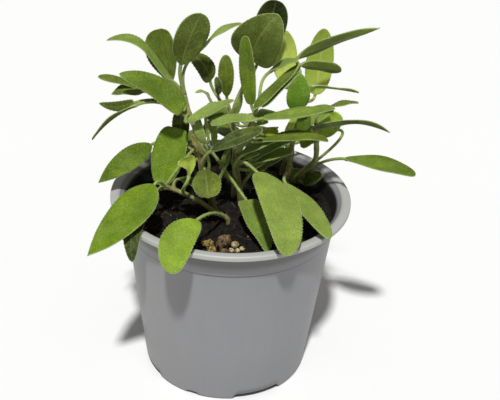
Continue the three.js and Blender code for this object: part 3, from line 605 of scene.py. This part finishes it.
# routes start where the stem stands in the soil; up is the way that a leaf's upper side looks
stems = {
    "low_stem": {
        "route": ((-1, -13), (-7, -14, 94), (-18, -15, 102), (-31, -14, 107)),
        "girth": 2.6,
        "leaves": [
            leaf("grass", 0.96, (-36, -23, 112.3), (-62.2, -57, 93.1), 22.2, form="pointed", arch=-0.5,
                 sway=-1, cup=8),
            leaf("paintedLeafShade", 0.93, (-40, -18, 102), (-43.2, -50, 86.3), 9.5, arch=9, peak=0.72, sway=1),
            leaf("fresh", 0.03, (-14.5, -42, 105.5), (-24, -68, 93.5), 16, up=(0.15, -0.15, 1),
                 form="round", arch=3, sway=2.5, rise=0.1),
            leaf("pale", 0.75, (-19.5, -22, 118), (-24.5, -23, 125.5), 9.5, up=(0.65, -0.8, 0.5),
                 form="broad", arch=0, sway=3.5, cup=30),
            leaf("dull", 0.9, (-26, -12, 110), (-16, -18, 109), 6),
            leaf("deep", 0.02, (-4, -8, 114), (-1, -7, 125), 2.5, up=(0, -1, 0.2), rise=0.6),
        ],
    },
    "left_stem": {
        "route": ((-9, -2), (-13, -5, 104), (-15, -7, 120), (-18, -6, 134), (-22, -2, 143), (-24, 0, 150)),
        "girth": 2.8,
        "leaves": [
            leaf("dull", 0.98, (-25.5, -1, 165), (-16.5, -3, 190.5), 16.5, up=(0.4, -0.8, 0.2),
                 arch=0.5, sway=-1, stalk=2),
            leaf("olive", 0.96, (-31, 9, 152), (-36, 11, 177.5), 18, up=(-0.35, -0.75, 0.4),
                 form="broad", arch=-0.5, sway=-1, cup=25),
            leaf("grey", 0.94, (-29.5, 2, 155), (-60.5, 4, 173), 7.5, up=(-0.3, -0.1, 0.9), arch=8,
                 peak=0.65),
            leaf("leafy", 0.92, (-24, -6, 144), (-54, -3, 159.5), 13, up=(-0.2, -0.5, 0.85),
                 form="heart", arch=2.5, sway=2),
            leaf("olive", 0.9, (-41.5, 9, 146.5), (-66, 8, 153), 5.5, up=(0, -0.35, 1), arch=1),
            leaf("olive", 0.85, (-44, 5, 148), (-59.5, 6, 145), 13.5, up=(0, -0.2, 1), form="pointed",
                 arch=1, sway=1.5),
            leaf("deep", 0.7, (-47.5, -3, 145), (-64, -3, 144), 5.5, up=(0, -0.9, 0.4), form="heart",
                 arch=0, sway=-1.5),
            leaf("olive", 0.6, (-46, -5, 145), (-66, -14, 130), 9, up=(-0.7, 0.3, 0.6)),
            leaf("leafy", 0.35, (-40.5, 6, 119), (-64, -14, 107), 12, up=(-0.05, -1.2, 0.85),
                 form="pointed", arch=-4, sway=1.5),
            leaf("deep", 0.52, (-26, 9, 118), (-26, 8, 138), 9, up=(0, -1, 0.1), form="broad"),
            leaf("silver", 0.74, (-21, -12, 141), (0, -12, 153), 6, up=(0, -0.5, 0.85), form="egg", arch=1),
            leaf("olive", 0.65, (-15, -2, 140), (-4, -4, 145), 9, up=(0, -0.8, 0.6)),
            leaf("dull", 0.48, (-13, -9, 114), (-10, -27, 109), 14, up=(0, -0.4, 0.9), form="broad"),
            leaf("grey", 0.5, (8, -12, 100), (19, -42, 89.5), 14, form="heart", sway=-1, wave=1),
            leaf("paintedLeafShade", 0.24, (-9.5, -13, 127), (14, -17, 141), 8, up=(0.2, -0.5, 0.85), arch=1.5),
            leaf("silver", 0.97, (-14, 5, 173.5), (2, 9, 182.5), 4, up=(0, -0.3, 0.9), arch=2.5, rise=0.6),
            leaf("silver", 0.3, (-13, -10, 129), (-17, -8, 140), 5, up=(-0.2, -1, 0.2)),
            leaf("soft", 0.38, (-9, -5, 126), (-11, -4, 141), 4, up=(0.4, -1, 0.2)),
            leaf("grass", 0.46, (-34, -10, 105), (-27.5, 4, 130), 18.5, form="blunt", arch=0),
            leaf("silver", 0.42, (-11.5, -9, 131.5), (-13.5, -8, 143.5), 2, up=(0.1, -1, 0.2),
                 form="strap", arch=1),
            leaf("silver", 0.26, (-14, -8, 132.5), (-16.5, -7, 142), 2, up=(-0.1, -1, 0.2),
                 form="strap", arch=1),
            leaf("dry", 0.16, (-13, -10, 123.5), (-19.5, -9, 133), 3.5, up=(-0.2, -1, 0.3),
                 form="strap", arch=1),
        ],
    },
    "centre_stem": {
        "route": ((5, 4), (3, 0, 106), (2, -4, 118), (6, -8, 132), (10, -10, 145)),
        "girth": 2.8,
        "leaves": [
            leaf("leafy", 0.98, (8, -10, 150.5), (4, -9, 183), 8, up=(-0.3, -0.9, 0), form="strap", arch=1),
            leaf("silver", 0.95, (11.5, -12, 144), (-10.5, -13, 141), 6, up=(0, -0.4, 0.9), form="blunt"),
            leaf("grey", 0.93, (14, -12, 144.5), (46.5, -15, 152.5), 9, up=(0, -0.15, 1), form="egg",
                 arch=0),
            leaf("olive", 0.8, (11, -12, 132.5), (45, -13, 135), 8, up=(0, -0.2, 1), arch=3, peak=0.6),
            leaf("soft", 0.3, (12.5, -20, 120), (28, -60, 100.5), 17.5, up=(-0.05, 0, 1), form="round",
                 arch=3.5, sway=-3, cup=10, rise=0.6),
            leaf("grey", 0.12, (4.5, -9, 123), (21, -9, 132.5), 9, up=(0, -0.2, 1)),
            leaf("mid", 0.6, (11, -3, 118), (29, -4, 130), 5, up=(0, -0.3, 1), form="strap"),
            leaf("grey", 0.45, (12, -4, 117), (29, -6, 125), 7, up=(0, -0.4, 1)),
            leaf("soft", 0.4, (5, -7, 119), (13, -8, 124), 4, up=(0, -0.5, 1)),
            leaf("grey", 0.35, (10, -3, 113), (22, -3, 124), 4, up=(0.2, -0.6, 0.8), form="strap"),
            leaf("silver", 0.96, (16, 0, 163), (28.5, -4, 170.5), 8, up=(-0.2, -0.1, 0.9), arch=1,
                 rise=0.6),
            leaf("yellow", 0.85, (15, -7, 134), (21.5, -8, 136.5), 4.5, up=(0, -0.8, 0.6)),
            leaf("yellow", 0.9, (12, -7, 139), (16.5, -8, 141), 2.5, up=(0, -0.8, 0.6)),
            leaf("grey", 0.03, (-5, -1, 112.5), (-1.5, 0, 123), 3, up=(0, -0.8, 0.6), rise=0.6),
            leaf("dry", 0.2, (0.5, -5, 119), (2.5, -4, 126.5), 2.5, up=(0, -1, 0.2), form="strap",
                 rise=0.6),
            leaf("olive", 0.06, (12, 0, 112.5), (23.5, 1, 126.5), 3.5, up=(0, -0.7, 0.7), form="strap",
                 arch=1),
            leaf("silver", 0.3, (2.5, -7, 125), (9, -7, 131.5), 2, up=(0, -0.8, 0.6), form="strap", arch=1),
        ],
    },
    "back_stem": {
        "route": ((1, 14), (1, 10, 112), (-1, 6, 137)),
        "girth": 2.6,
        "leaves": [
            leaf("dull", 0.98, (7.5, 5, 166), (18, -2, 191.5), 25, up=(-0.1, -0.9, 0), form="egg",
                 arch=3, sway=-2.5, cup=20),
            leaf("paintedLeafShade", 0.97, (10, 13, 162), (17, 9, 194.5), 16.5, up=(0.2, -0.95, 0.2), form="round",
                 arch=-4, sway=1.5),
            leaf("olive", 0.95, (-4, 6, 147), (-5, 6, 168), 8, up=(0, -1, 0)),
            leaf("deep", 0.93, (-12.5, 13, 151.5), (-22.5, 13, 165), 10, up=(0.3, -0.8, 0.5),
                 form="egg", sway=1.5),
            leaf("paintedLeafShade", 0.9, (-8, 3, 149), (-9, 3, 158), 4, up=(0.3, -1, 0)),
            leaf("silver", 0.85, (0, 2, 138), (3, 1, 151), 4, up=(0, -1, 0.2)),
            leaf("silver", 0.75, (-12, 4, 146), (-19, 4, 149), 3),
        ],
    },
    "tall_stem": {
        "route": ((27, 15), (28.3, 8, 110.5), (29.2, 4, 130), (28.8, 1, 155), (29, 0, 167)),
        "girth": 2.5,
        "leaves": [
            leaf("deep", 0.98, (28.5, 0, 170.5), (65, 2, 186), 9, up=(-0.3, 0.8, 0.55), form="pointed",
                 arch=1.5),
            leaf("deep", 0.97, (30, -1, 167.5), (49, -2, 166), 8.5, up=(0, 0.8, 0.5), arch=0.5),
            leaf("olive", 0.96, (29, -2, 167.5), (9.5, -15, 150.5), 7, up=(-0.5, -0.4, 0.7), arch=0),
            leaf("vivid", 0.94, (30, -3, 164), (29, -4, 146), 11.5, up=(0.1, -1, 0.2)),
            leaf("paintedBacklight", 0.8, (24, 20, 150), (22, 22, 176), 13, up=(0, 1, 0.2), form="egg"),
            leaf("pale", 0.65, (39, 16, 146), (41, 18, 179), 14, up=(0.1, 1, 0.2), form="egg"),
            leaf("silver", 0.85, (35.5, -2, 157.5), (58, -3, 156), 6, up=(0, 0.45, 0.85), arch=0.5),
            leaf("grey", 0.4, (31.5, 7, 131), (48, 9, 142), 11, up=(-0.4, -0.4, 0.8)),
            leaf("soft", 0.2, (27, -8, 108), (47, -44, 100.5), 11, sway=0.5, rise=0),
            leaf("silver", 0.92, (28, -3, 164), (13, -13, 150.5), 4.5, up=(-0.5, -0.5, 0.7), arch=0),
            leaf("pale", 0.3, (25.5, -2, 133), (29.5, -2, 143), 3.5, up=(0, -1, 0.2), form="strap", arch=1),
            leaf("mid", 0.4, (31.5, 3, 131.5), (34.5, 3, 143), 8.5, up=(0, -0.9, 0.3)),
            leaf("olive", 0.16, (24.5, 6, 116), (14, 4, 109), 3, up=(0, -0.7, 0.7), form="strap", arch=1),
            leaf("silver", 0.3, (25.5, 9, 121.5), (18.5, 9, 116), 4, up=(0, -0.6, 0.8), arch=1),
        ],
    },
    "right_stem": {
        "route": ((31, 26), (36, 16, 103), (41, 6, 115), (40, -2, 132)),
        "girth": 3.2,
        "leaves": [
            leaf("mid", 0.02, (55.5, 3, 118), (89, -8, 116.5), 13, up=(0, -0.1, 1), arch=3, sway=2.5,
                 rise=0),
            leaf("lime", 0.55, (52, 15, 128), (41.5, 16, 134), 18, up=(-0.3, 0.75, 0.3), form="egg",
                 arch=-0.5, sway=1.5, rise=0.1),
            leaf("paintedLeafShade", 0.98, (38, -5, 137.5), (74, -8, 138.5), 6.5, up=(0.05, 0.65, 0.55),
                 form="heart", arch=4.5, peak=0.6, sway=-0.5),
            leaf("olive", 0.96, (43, -6, 148), (58, -6, 152), 7, up=(0, 0.1, 1), arch=1),
            leaf("yellow", 0.85, (41, 5, 128), (33, 2, 124), 6, up=(0, -0.6, 0.8)),
            leaf("dull", 0.1, (36, 24, 92.2), (30.5, 23, 100), 8, up=(0, -0.7, 0.7)),
            leaf("dull", 0.12, (37.5, 20, 94), (46, 16, 102), 7.5, up=(0, -0.7, 0.7)),
            leaf("silver", 0.05, (30, 24, 103.5), (30.5, 24, 113.5), 2, up=(0, -1, 0.1), form="strap",
                 rise=0.6),
        ],
    },
    "rear_stem": {
        "route": ((8, 34), (9, 37, 106), (8, 40, 116)),
        "girth": 2.4,
        "leaves": [
            leaf("mid", 0.6, (2, 42, 106), (-14, 64, 103), 15),
            leaf("fresh", 0.7, (14, 44, 108), (18, 70, 101), 14),
            leaf("olive", 0.98, (2, 38, 117), (-16, 46, 120), 12),
            leaf("mid", 0.96, (12, 40, 118), (22, 54, 118), 12),
            leaf("mid", 0.93, (6, 44, 115), (4, 62, 112), 13),
        ],
    },
    "rear_left_stem": {
        "route": ((-16, 24), (-18, 26, 102), (-20, 28, 110)),
        "girth": 2.2,
        "leaves": [
            leaf("mid", 0.5, (-24, 22, 101), (-40, 34, 108), 13),
            leaf("mid", 0.98, (-22, 32, 108), (-30, 56, 102), 14),
            leaf("olive", 0.96, (-16, 30, 113), (-8, 40, 118), 9),
        ],
    },
    "rear_right_stem": {
        "route": ((26, 40), (28, 40, 100), (30, 40, 108)),
        "girth": 2.2,
        "leaves": [
            leaf("mid", 0.9, (34, 40, 108), (45, 50, 112), 12),
            leaf("mid", 0.8, (30, 46, 104), (36, 68, 101), 13),
        ],
    },
}

leafCut = {
    "thickness": 0.7, "rimThickness": 0.34, "stationsPerMm": 1.5, "stations": (14, 84),
    "columnsPerMm": 0.5, "columns": (4, 11), "toothDepth": 0.28, "veinSpacing": 3.3, "veinDepth": 0.09,
    "veinSlant": 0.8, "veinBow": 0.025, "pucker": 0.24, "puckerScale": 0.75, "groove": 0.1,
    "ridge": 0.5, "ribWidth": 0.65, "curl": 0.35, "endSwell": 0.25, "endReach": 2.5, "tipReach": 0.06,
}
leafLook = {
    "grey": tint(136, 156, 72), "warm": tint(160, 180, 20), "shade": tint(140, 150, 110),
    "speck": tint(196, 208, 136), "vein": tint(196, 208, 140), "edge": tint(180, 196, 140),
    "sheen": tint(214, 224, 196), "ribsFrom": 0.13, "ribsFull": 0.08,   # how little green shows the ribs
}
stalkLook = {"sides": 10, "stalkSides": 8, "root": tint(118, 112, 66), "stem": tint(120, 112, 74),
             "node": tint(112, 88, 70), "pale": tint(150, 164, 92), "rootDepth": 12, "taper": 0.75}
down = {"length": (0.35, 0.75), "thickness": 0.035, "rimShare": 0.8, "stalkSpacing": 0.22, "seed": 11,
        "green": tint(186, 200, 150), "white": tint(222, 228, 204)}


def leafWays(leaf):
    along = leaf["tip"] - leaf["base"]
    length = along.length
    along.normalize()
    across = along.cross(Vector(leaf["up"])).normalized()
    return along, across, across.cross(along), length


def midrib(leaf, ways, u):
    # u runs from 0 at the blade's base to 1 at its tip
    along, across, out, length = ways
    lean = leaf["peak"] / (1 - leaf["peak"])
    bow = u ** lean * (1 - u) / (leaf["peak"] ** lean * (1 - leaf["peak"]))
    straight = leaf["base"] + along * length * u
    return straight + out * leaf["arch"] * bow + across * leaf["sway"] * 4 * u * (1 - u)


def halfWidth(leaf, u):
    widen, narrow = leafForms[leaf["form"]]
    widest = widen / (widen + narrow)
    share = u ** widen * (1 - u) ** narrow / (widest ** widen * (1 - widest) ** narrow)
    return leaf["width"] / 2 * share


def veinWave(alongRib, fromRib):
    # 1 on a side vein, 0 half way between two
    line = alongRib - leafCut["veinSlant"] * fromRib - leafCut["veinBow"] * fromRib ** 2
    return (0.5 + 0.5 * math.cos(2 * math.pi * line / leafCut["veinSpacing"])) ** 3


def turnOutwards(bm, upperSide, lowerSide, out):
    # a thin blade's pointed end can mislead the operator, so its upper side is looked at as well
    skin, upper = facesOf(upperSide + lowerSide), set(upperSide)
    bmesh.ops.recalc_face_normals(bm, faces=skin)
    upward = 0
    for face in skin:
        if upper.issuperset(face.verts):
            face.normal_update()
            upward += face.normal.dot(out) * face.calc_area()
    if upward < 0:
        bmesh.ops.reverse_faces(bm, faces=skin)


def addBlade(bm, leaf, layers):
    ways = leafWays(leaf)
    along, across, out, length = ways
    fewest, most = leafCut["stations"]
    stations = max(fewest, min(most, round(length * leafCut["stationsPerMm"])))
    fewest, most = leafCut["columns"]
    columns = 2 * max(fewest, min(most, round(leaf["width"] * leafCut["columnsPerMm"])))
    cup, tone = math.radians(leaf["cup"]), leafTones[leaf["tone"]]
    made = bmesh.ops.create_grid(bm, x_segments=stations, y_segments=columns, size=0.5)["verts"]
    rims = []
    for vert in made:
        t, s = vert.co.x + 0.5, vert.co.y * 2
        u = 0.5 * t + 0.25 - 0.25 * math.cos(math.pi * t)
        side = math.copysign(abs(s) ** 1.2, s)
        tooth = leafCut["toothDepth"] * (round(t * stations) % 2) * abs(side) ** 8
        reach = max(halfWidth(leaf, u), leaf["stalk"] * 0.35 * (1 - u), leafCut["tipReach"])
        spread = side * (reach - tooth * min(1, reach / 3))
        fromRib, alongRib = abs(spread), u * length
        inside = min(1.0, fromRib / 1.2) * (1 - abs(side) ** 4) * min(1.0, reach / 4)
        relief = leafCut["veinDepth"] * (0.35 - veinWave(alongRib, fromRib)) * inside
        pucker = noise.noise(Vector((alongRib, spread, length)) * leafCut["puckerScale"])
        relief += leafCut["pucker"] * pucker * inside
        relief -= leafCut["curl"] * abs(side) ** 5 * min(1, reach / 5)
        lift = (fromRib * math.sin(cup) * (0.35 + 0.65 * abs(side))
                + side * leaf["wave"] * math.sin(3 * math.pi * u))
        middle = midrib(leaf, ways, u) + across * spread * math.cos(cup) + out * (lift + relief)
        ribShape = math.exp(-(fromRib / leafCut["ribWidth"]) ** 2) * (1 - u) ** 0.6
        half = 0.5 * (leafCut["thickness"] + (leafCut["rimThickness"] - leafCut["thickness"]) * side * side)
        half += leaf["stalk"] * leafCut["endSwell"] * math.exp(-(alongRib / leafCut["endReach"]) ** 2)
        upper = half - leafCut["groove"] * ribShape * min(1, alongRib / 4)
        lower = half + leafCut["ridge"] * ribShape * min(1, leaf["width"] / 12)
        vert.co = (middle + out * upper) * mm
        vert[layers["shell"]] = out * (upper + lower) * mm
        vert[layers["place"]] = (alongRib, spread, reach - fromRib)
        vert[layers["tone"]] = (*tone, 0)
        if abs(s) > 0.999 and reach > 1:
            rims.append((middle, (across * math.copysign(1, s) + along * 0.35 - out * 0.1).normalized()))
    shell = bmesh.ops.extrude_face_region(bm, geom=facesOf(made))["geom"]
    lowerSide = [item for item in shell if isinstance(item, bmesh.types.BMVert)]
    for vert in lowerSide:
        vert.co -= vert[layers["shell"]]
        vert[layers["tone"]] = (*vert[layers["tone"]][:3], 1)
    turnOutwards(bm, made, lowerSide, out)
    return rims


def bezierAt(knots, t):
    start, leave, arrive, end = knots
    back = 1 - t
    point = start * back ** 3 + leave * 3 * t * back ** 2 + arrive * 3 * t * t * back + end * t ** 3
    way = (leave - start) * back ** 2 + (arrive - leave) * 2 * t * back + (end - arrive) * t * t
    return point, way.normalized()


def smoothSpans(points):
    # a smooth line through the points, each stretch of it a bezier
    line = [points[0] * 2 - points[1], *points, points[-1] * 2 - points[-2]]
    spans = []
    for before, start, end, after in zip(line, line[1:], line[2:], line[3:]):
        gaps = (start - before, end - start, after - end)
        first, middle, last = (gap.length ** 0.5 for gap in gaps)
        leave = (start - before) / first - (end - before) / (first + middle) + (end - start) / middle
        arrive = (end - start) / middle - (after - start) / (middle + last) + (after - end) / last
        spans.append((start, start + leave * middle / 3, end - arrive * middle / 3, end))
    return spans


def onStem(spans, at):
    index = min(int(at * len(spans)), len(spans) - 1)
    return bezierAt(spans[index], at * len(spans) - index)


def paint(verts, layers, colour):
    # colour is a function of the step along a tube
    for vert, step in verts.items():
        vert[layers["tone"]] = (*colour(step), 0.5)
        vert[layers["place"]] = (step, 5, 9)


def lerpColour(first, second, share):
    return tuple(a + (b - a) * share for a, b in zip(first, second))


def addStalk(bm, leaf, spans, layers):
    ways = leafWays(leaf)
    start, climb = onStem(spans, leaf["at"])
    span = (leaf["base"] - start).length
    start = start.lerp(leaf["base"], 0.4 / span)
    arrival = (midrib(leaf, ways, 0.08) - leaf["base"]).normalized()
    steps = max(6, round(span / 1.4))
    path = geometry.interpolate_bezier(start, start + climb * span * leaf["rise"],
                                       leaf["base"] - arrival * span * 0.4, leaf["base"], steps + 1)
    path.append(midrib(leaf, ways, 0.06) - ways[2] * leaf["stalk"] * 0.12)
    last = len(path) - 1
    swells = [math.exp(-(step * span / steps / 1.6) ** 2) for step in range(last)]
    radii = [leaf["stalk"] * 0.47 * (1 + 0.35 * swell) for swell in swells]
    radii.append(leaf["stalk"] * 0.3)
    made = tube(bm, path, radii, stalkLook["stalkSides"], ways[1])
    tone = lerpColour(leafTones[leaf["tone"]], stalkLook["pale"], 0.65)
    paint(made, layers, lambda step: lerpColour(stalkLook["stem"], tone, min(1, 0.25 + 1.2 * step / last)))
    return path, radii


def addStem(bm, stem, layers):
    x, y = stem["route"][0]
    route = [Vector((x, y, soil["level"] + 2)), *map(Vector, stem["route"][1:])]
    spans = smoothSpans(route)
    path = [Vector((x, y, soil["level"] - stalkLook["rootDepth"])), Vector((x, y, soil["level"] - 5))]
    for span in spans:
        path += geometry.interpolate_bezier(*span, 9)[:-1]
    path.append(route[-1])
    last = len(path) - 1
    joints = [leaf["at"] for leaf in stem["leaves"] if leaf["at"] < 0.97]

    def swellAt(share, reach):
        # the stem is thicker and browner where a leaf stalk leaves it
        return max([math.exp(-((share - at) / reach) ** 2) for at in joints], default=0)

    def shade(step):
        share = step / last
        green = lerpColour(stalkLook["root"], stalkLook["pale"], share)
        return lerpColour(green, stalkLook["node"], 0.25 + 0.5 * swellAt(share, 0.04))

    radii = []
    for step in range(last + 1):
        share = max(0, step - 2) / (last - 2)
        slim = 1 + (stalkLook["taper"] - 1) * share
        radii.append(stem["girth"] / 2 * slim * (1 + 0.16 * swellAt(share, 0.03)))
    radii[-1] *= 0.7
    paint(tube(bm, path, radii, stalkLook["sides"]), layers, shade)
    return spans, path, radii


def addHair(bm, root, way, length):
    turn = way.to_track_quat("Z", "Y").to_matrix().to_4x4()
    where = Matrix.Translation((root + way * length / 2) * mm) @ turn
    bmesh.ops.create_cone(bm, cap_ends=True, segments=3, radius1=down["thickness"] * mm,
                          radius2=down["thickness"] * 0.3 * mm, depth=length * mm, matrix=where)


def growDown(rims, tubes, brush):
    # short pale hairs along the leaf edges and on the stalks
    bm = bmesh.new()
    for root, way in rims:
        if brush.random() < down["rimShare"]:
            lean = Vector([brush.uniform(-0.35, 0.35) for _ in range(3)])
            addHair(bm, root, (way + lean).normalized(), brush.uniform(*down["length"]) * 0.8)
    for path, radii in tubes:
        for start, end, radius in zip(path, path[1:], radii):
            along = (end - start).normalized()
            for _ in range(round((end - start).length / down["stalkSpacing"])):
                lean = Vector([brush.uniform(-1, 1) for _ in range(3)])
                way = (lean - along * lean.dot(along)).normalized()
                root = start + (end - start) * brush.random() + way * radius * 0.9
                addHair(bm, root, (way + along * 0.4).normalized(), brush.uniform(*down["length"]))
    for face in bm.faces:
        face.material_index = 1
    return meshFrom("down", bm)


def sageLeafMaterial():
    material, shader = startMaterial("sage_leaf", {
        "Roughness": 0.6, "Specular IOR Level": 0.16, "Sheen Weight": 0.07, "Sheen Roughness": 0.4,
        "Sheen Tint": (*leafLook["sheen"], 1), "Subsurface Weight": 0.25,
        "Subsurface Scale": 0.6 * mm, "Subsurface Radius": (0.6, 1.0, 0.25)})
    place = wire(material, "Attribute", {}, "Vector", attribute_name="leafPlace")
    tone = wire(material, "Attribute", {}, "Color", attribute_name="leafTone")
    underside = wire(material, "Attribute", {}, "Alpha", attribute_name="leafTone")
    alongRib, spread, fromEdge = (partOf(material, place, axis) for axis in range(3))
    fromRib = sums(material, "ABSOLUTE", spread)
    # side veins leave the midrib at a slant, as the mesh's own furrows do
    slant = times(material, fromRib, -leafCut["veinSlant"])
    curve = times(material, times(material, fromRib, fromRib), -leafCut["veinBow"])
    line = plus(material, plus(material, alongRib, slant), curve)
    line = plus(material, line, times(material, noiseOf(material, place, 0.5, 3), 0.5))
    gap = sums(material, "PINGPONG", line, leafCut["veinSpacing"] / 2)
    sideVein = times(material, fade(material, gap, 0.3, 0.05), fade(material, fromEdge, 0.3, 2.5))
    # ribs show on dark broad leaves and on undersides
    dark = fade(material, partOf(material, tone, 1), leafLook["ribsFrom"], leafLook["ribsFull"])
    broad = fade(material, plus(material, fromRib, fromEdge), 3.0, 6.5, 0.12, 1.0)
    ribShow = sums(material, "MAXIMUM", fade(material, dark, 0, 1, 0.03, 0.4),
                   times(material, underside, 0.45))
    ribShow = times(material, ribShow, broad)
    rib = times(material, fade(material, fromRib, 0.55, 0.15), ribShow)
    net = wire(material, "TexVoronoi", {"Vector": place, "Scale": 1.15, "Randomness": 0.9}, "Distance",
               feature="DISTANCE_TO_EDGE", voronoi_dimensions="2D")
    cells = fade(material, net, 0.0, 0.28)
    pebbles = wire(material, "TexVoronoi", {"Vector": place, "Scale": 1.9, "Randomness": 0.9,
                                            "Smoothness": 0.6}, "Distance",
                   feature="SMOOTH_F1", voronoi_dimensions="2D")
    whole = objectPlace(material)
    cloud = noiseOf(material, whole, 0.07, 3)
    bloom = noiseOf(material, whole, 0.13, 4)
    flush = noiseOf(material, objectPlace(material, (1, -1, 1)), 0.1, 3)
    grain = noiseOf(material, place, 1.3, 4, 0.75)
    # greyer and fresher patches, painted shade in the gaps between the leaf's pebbles, and paler grains
    grey = blendColours(material, 0.4, tone, leafLook["grey"])
    warm = blendColours(material, 0.35, tone, leafLook["warm"], "SCREEN")
    shady = blendColours(material, 0.6, tone, leafLook["shade"], "MULTIPLY")
    speck = blendColours(material, 0.4, tone, leafLook["speck"])
    colour = tone
    for value, start, end, low, high, layer in (
            (bloom, 0.4, 0.62, 0.0, 0.85, grey), (flush, 0.5, 0.66, 0.0, 0.6, warm),
            (cloud, 0.45, 0.66, 0.0, 0.6, shady), (cells, 0.0, 1.0, 0.35, 0.0, shady),
            (grain, 0.36, 0.54, 0.7, 0.0, shady), (grain, 0.52, 0.68, 0.0, 0.4, speck)):
        colour = blendColours(material, fade(material, value, start, end, low, high), colour, layer)
    # a greyer underside, paler veins and a pale downy rim
    colour = blendColours(material, times(material, underside, 0.35), colour, grey)
    veins = sums(material, "MAXIMUM", times(material, sideVein, times(material, ribShow, 0.3)), rib)
    colour = blendColours(material, veins, colour, blendColours(material, 0.62, tone, leafLook["vein"]))
    colour = blendColours(material, fade(material, fromEdge, 0.5, 0.0, 0.0, 0.5), colour, leafLook["edge"])
    plug(material, colour, shader, "Base Color")
    raised = sums(material, "SUBTRACT", 1.0, times(material, underside, 2.0))
    lumps = plus(material, times(material, cells, 0.6), times(material, pebbles, -0.5))
    height = times(material, sums(material, "SUBTRACT", lumps, veins), raised)
    height = plus(material, height, times(material, noiseOf(material, place, 4.5, 3), 0.25))
    bumps(material, shader, height, 0.7, 0.3)
    return material


def downMaterial():
    material, shader = startMaterial("sage_down", {"Roughness": 0.6, "Sheen Weight": 0.3})
    patches = noiseOf(material, objectPlace(material), 0.4)
    plug(material, blendColours(material, fade(material, patches, 0.3, 0.7), down["green"], down["white"]),
         shader, "Base Color")
    return material


def makeSage():
    materials = [sageLeafMaterial(), downMaterial()]
    brush = random.Random(down["seed"])
    for name, stem in stems.items():
        bm = bmesh.new()
        layers = {"shell": bm.verts.layers.float_vector.new("shell"),
                  "place": bm.verts.layers.float_vector.new("leafPlace"),
                  "tone": bm.verts.layers.float_color.new("leafTone")}
        spans, path, radii = addStem(bm, stem, layers)
        rims, tubes = [], [(path[2:], radii[2:])]
        for leaf in stem["leaves"]:
            rims += addBlade(bm, leaf, layers)
            tubes.append(addStalk(bm, leaf, spans, layers))
        bm.verts.layers.float_vector.remove(layers["shell"])
        hairs = growDown(rims, tubes, brush)
        bm.from_mesh(hairs)
        bpy.data.meshes.remove(hairs)
        piece = addPiece("sage_" + name, bm, materials, [name])
        print("grown:", name, len(piece.data.polygons), "faces")


makeSage()
print("sage grown")
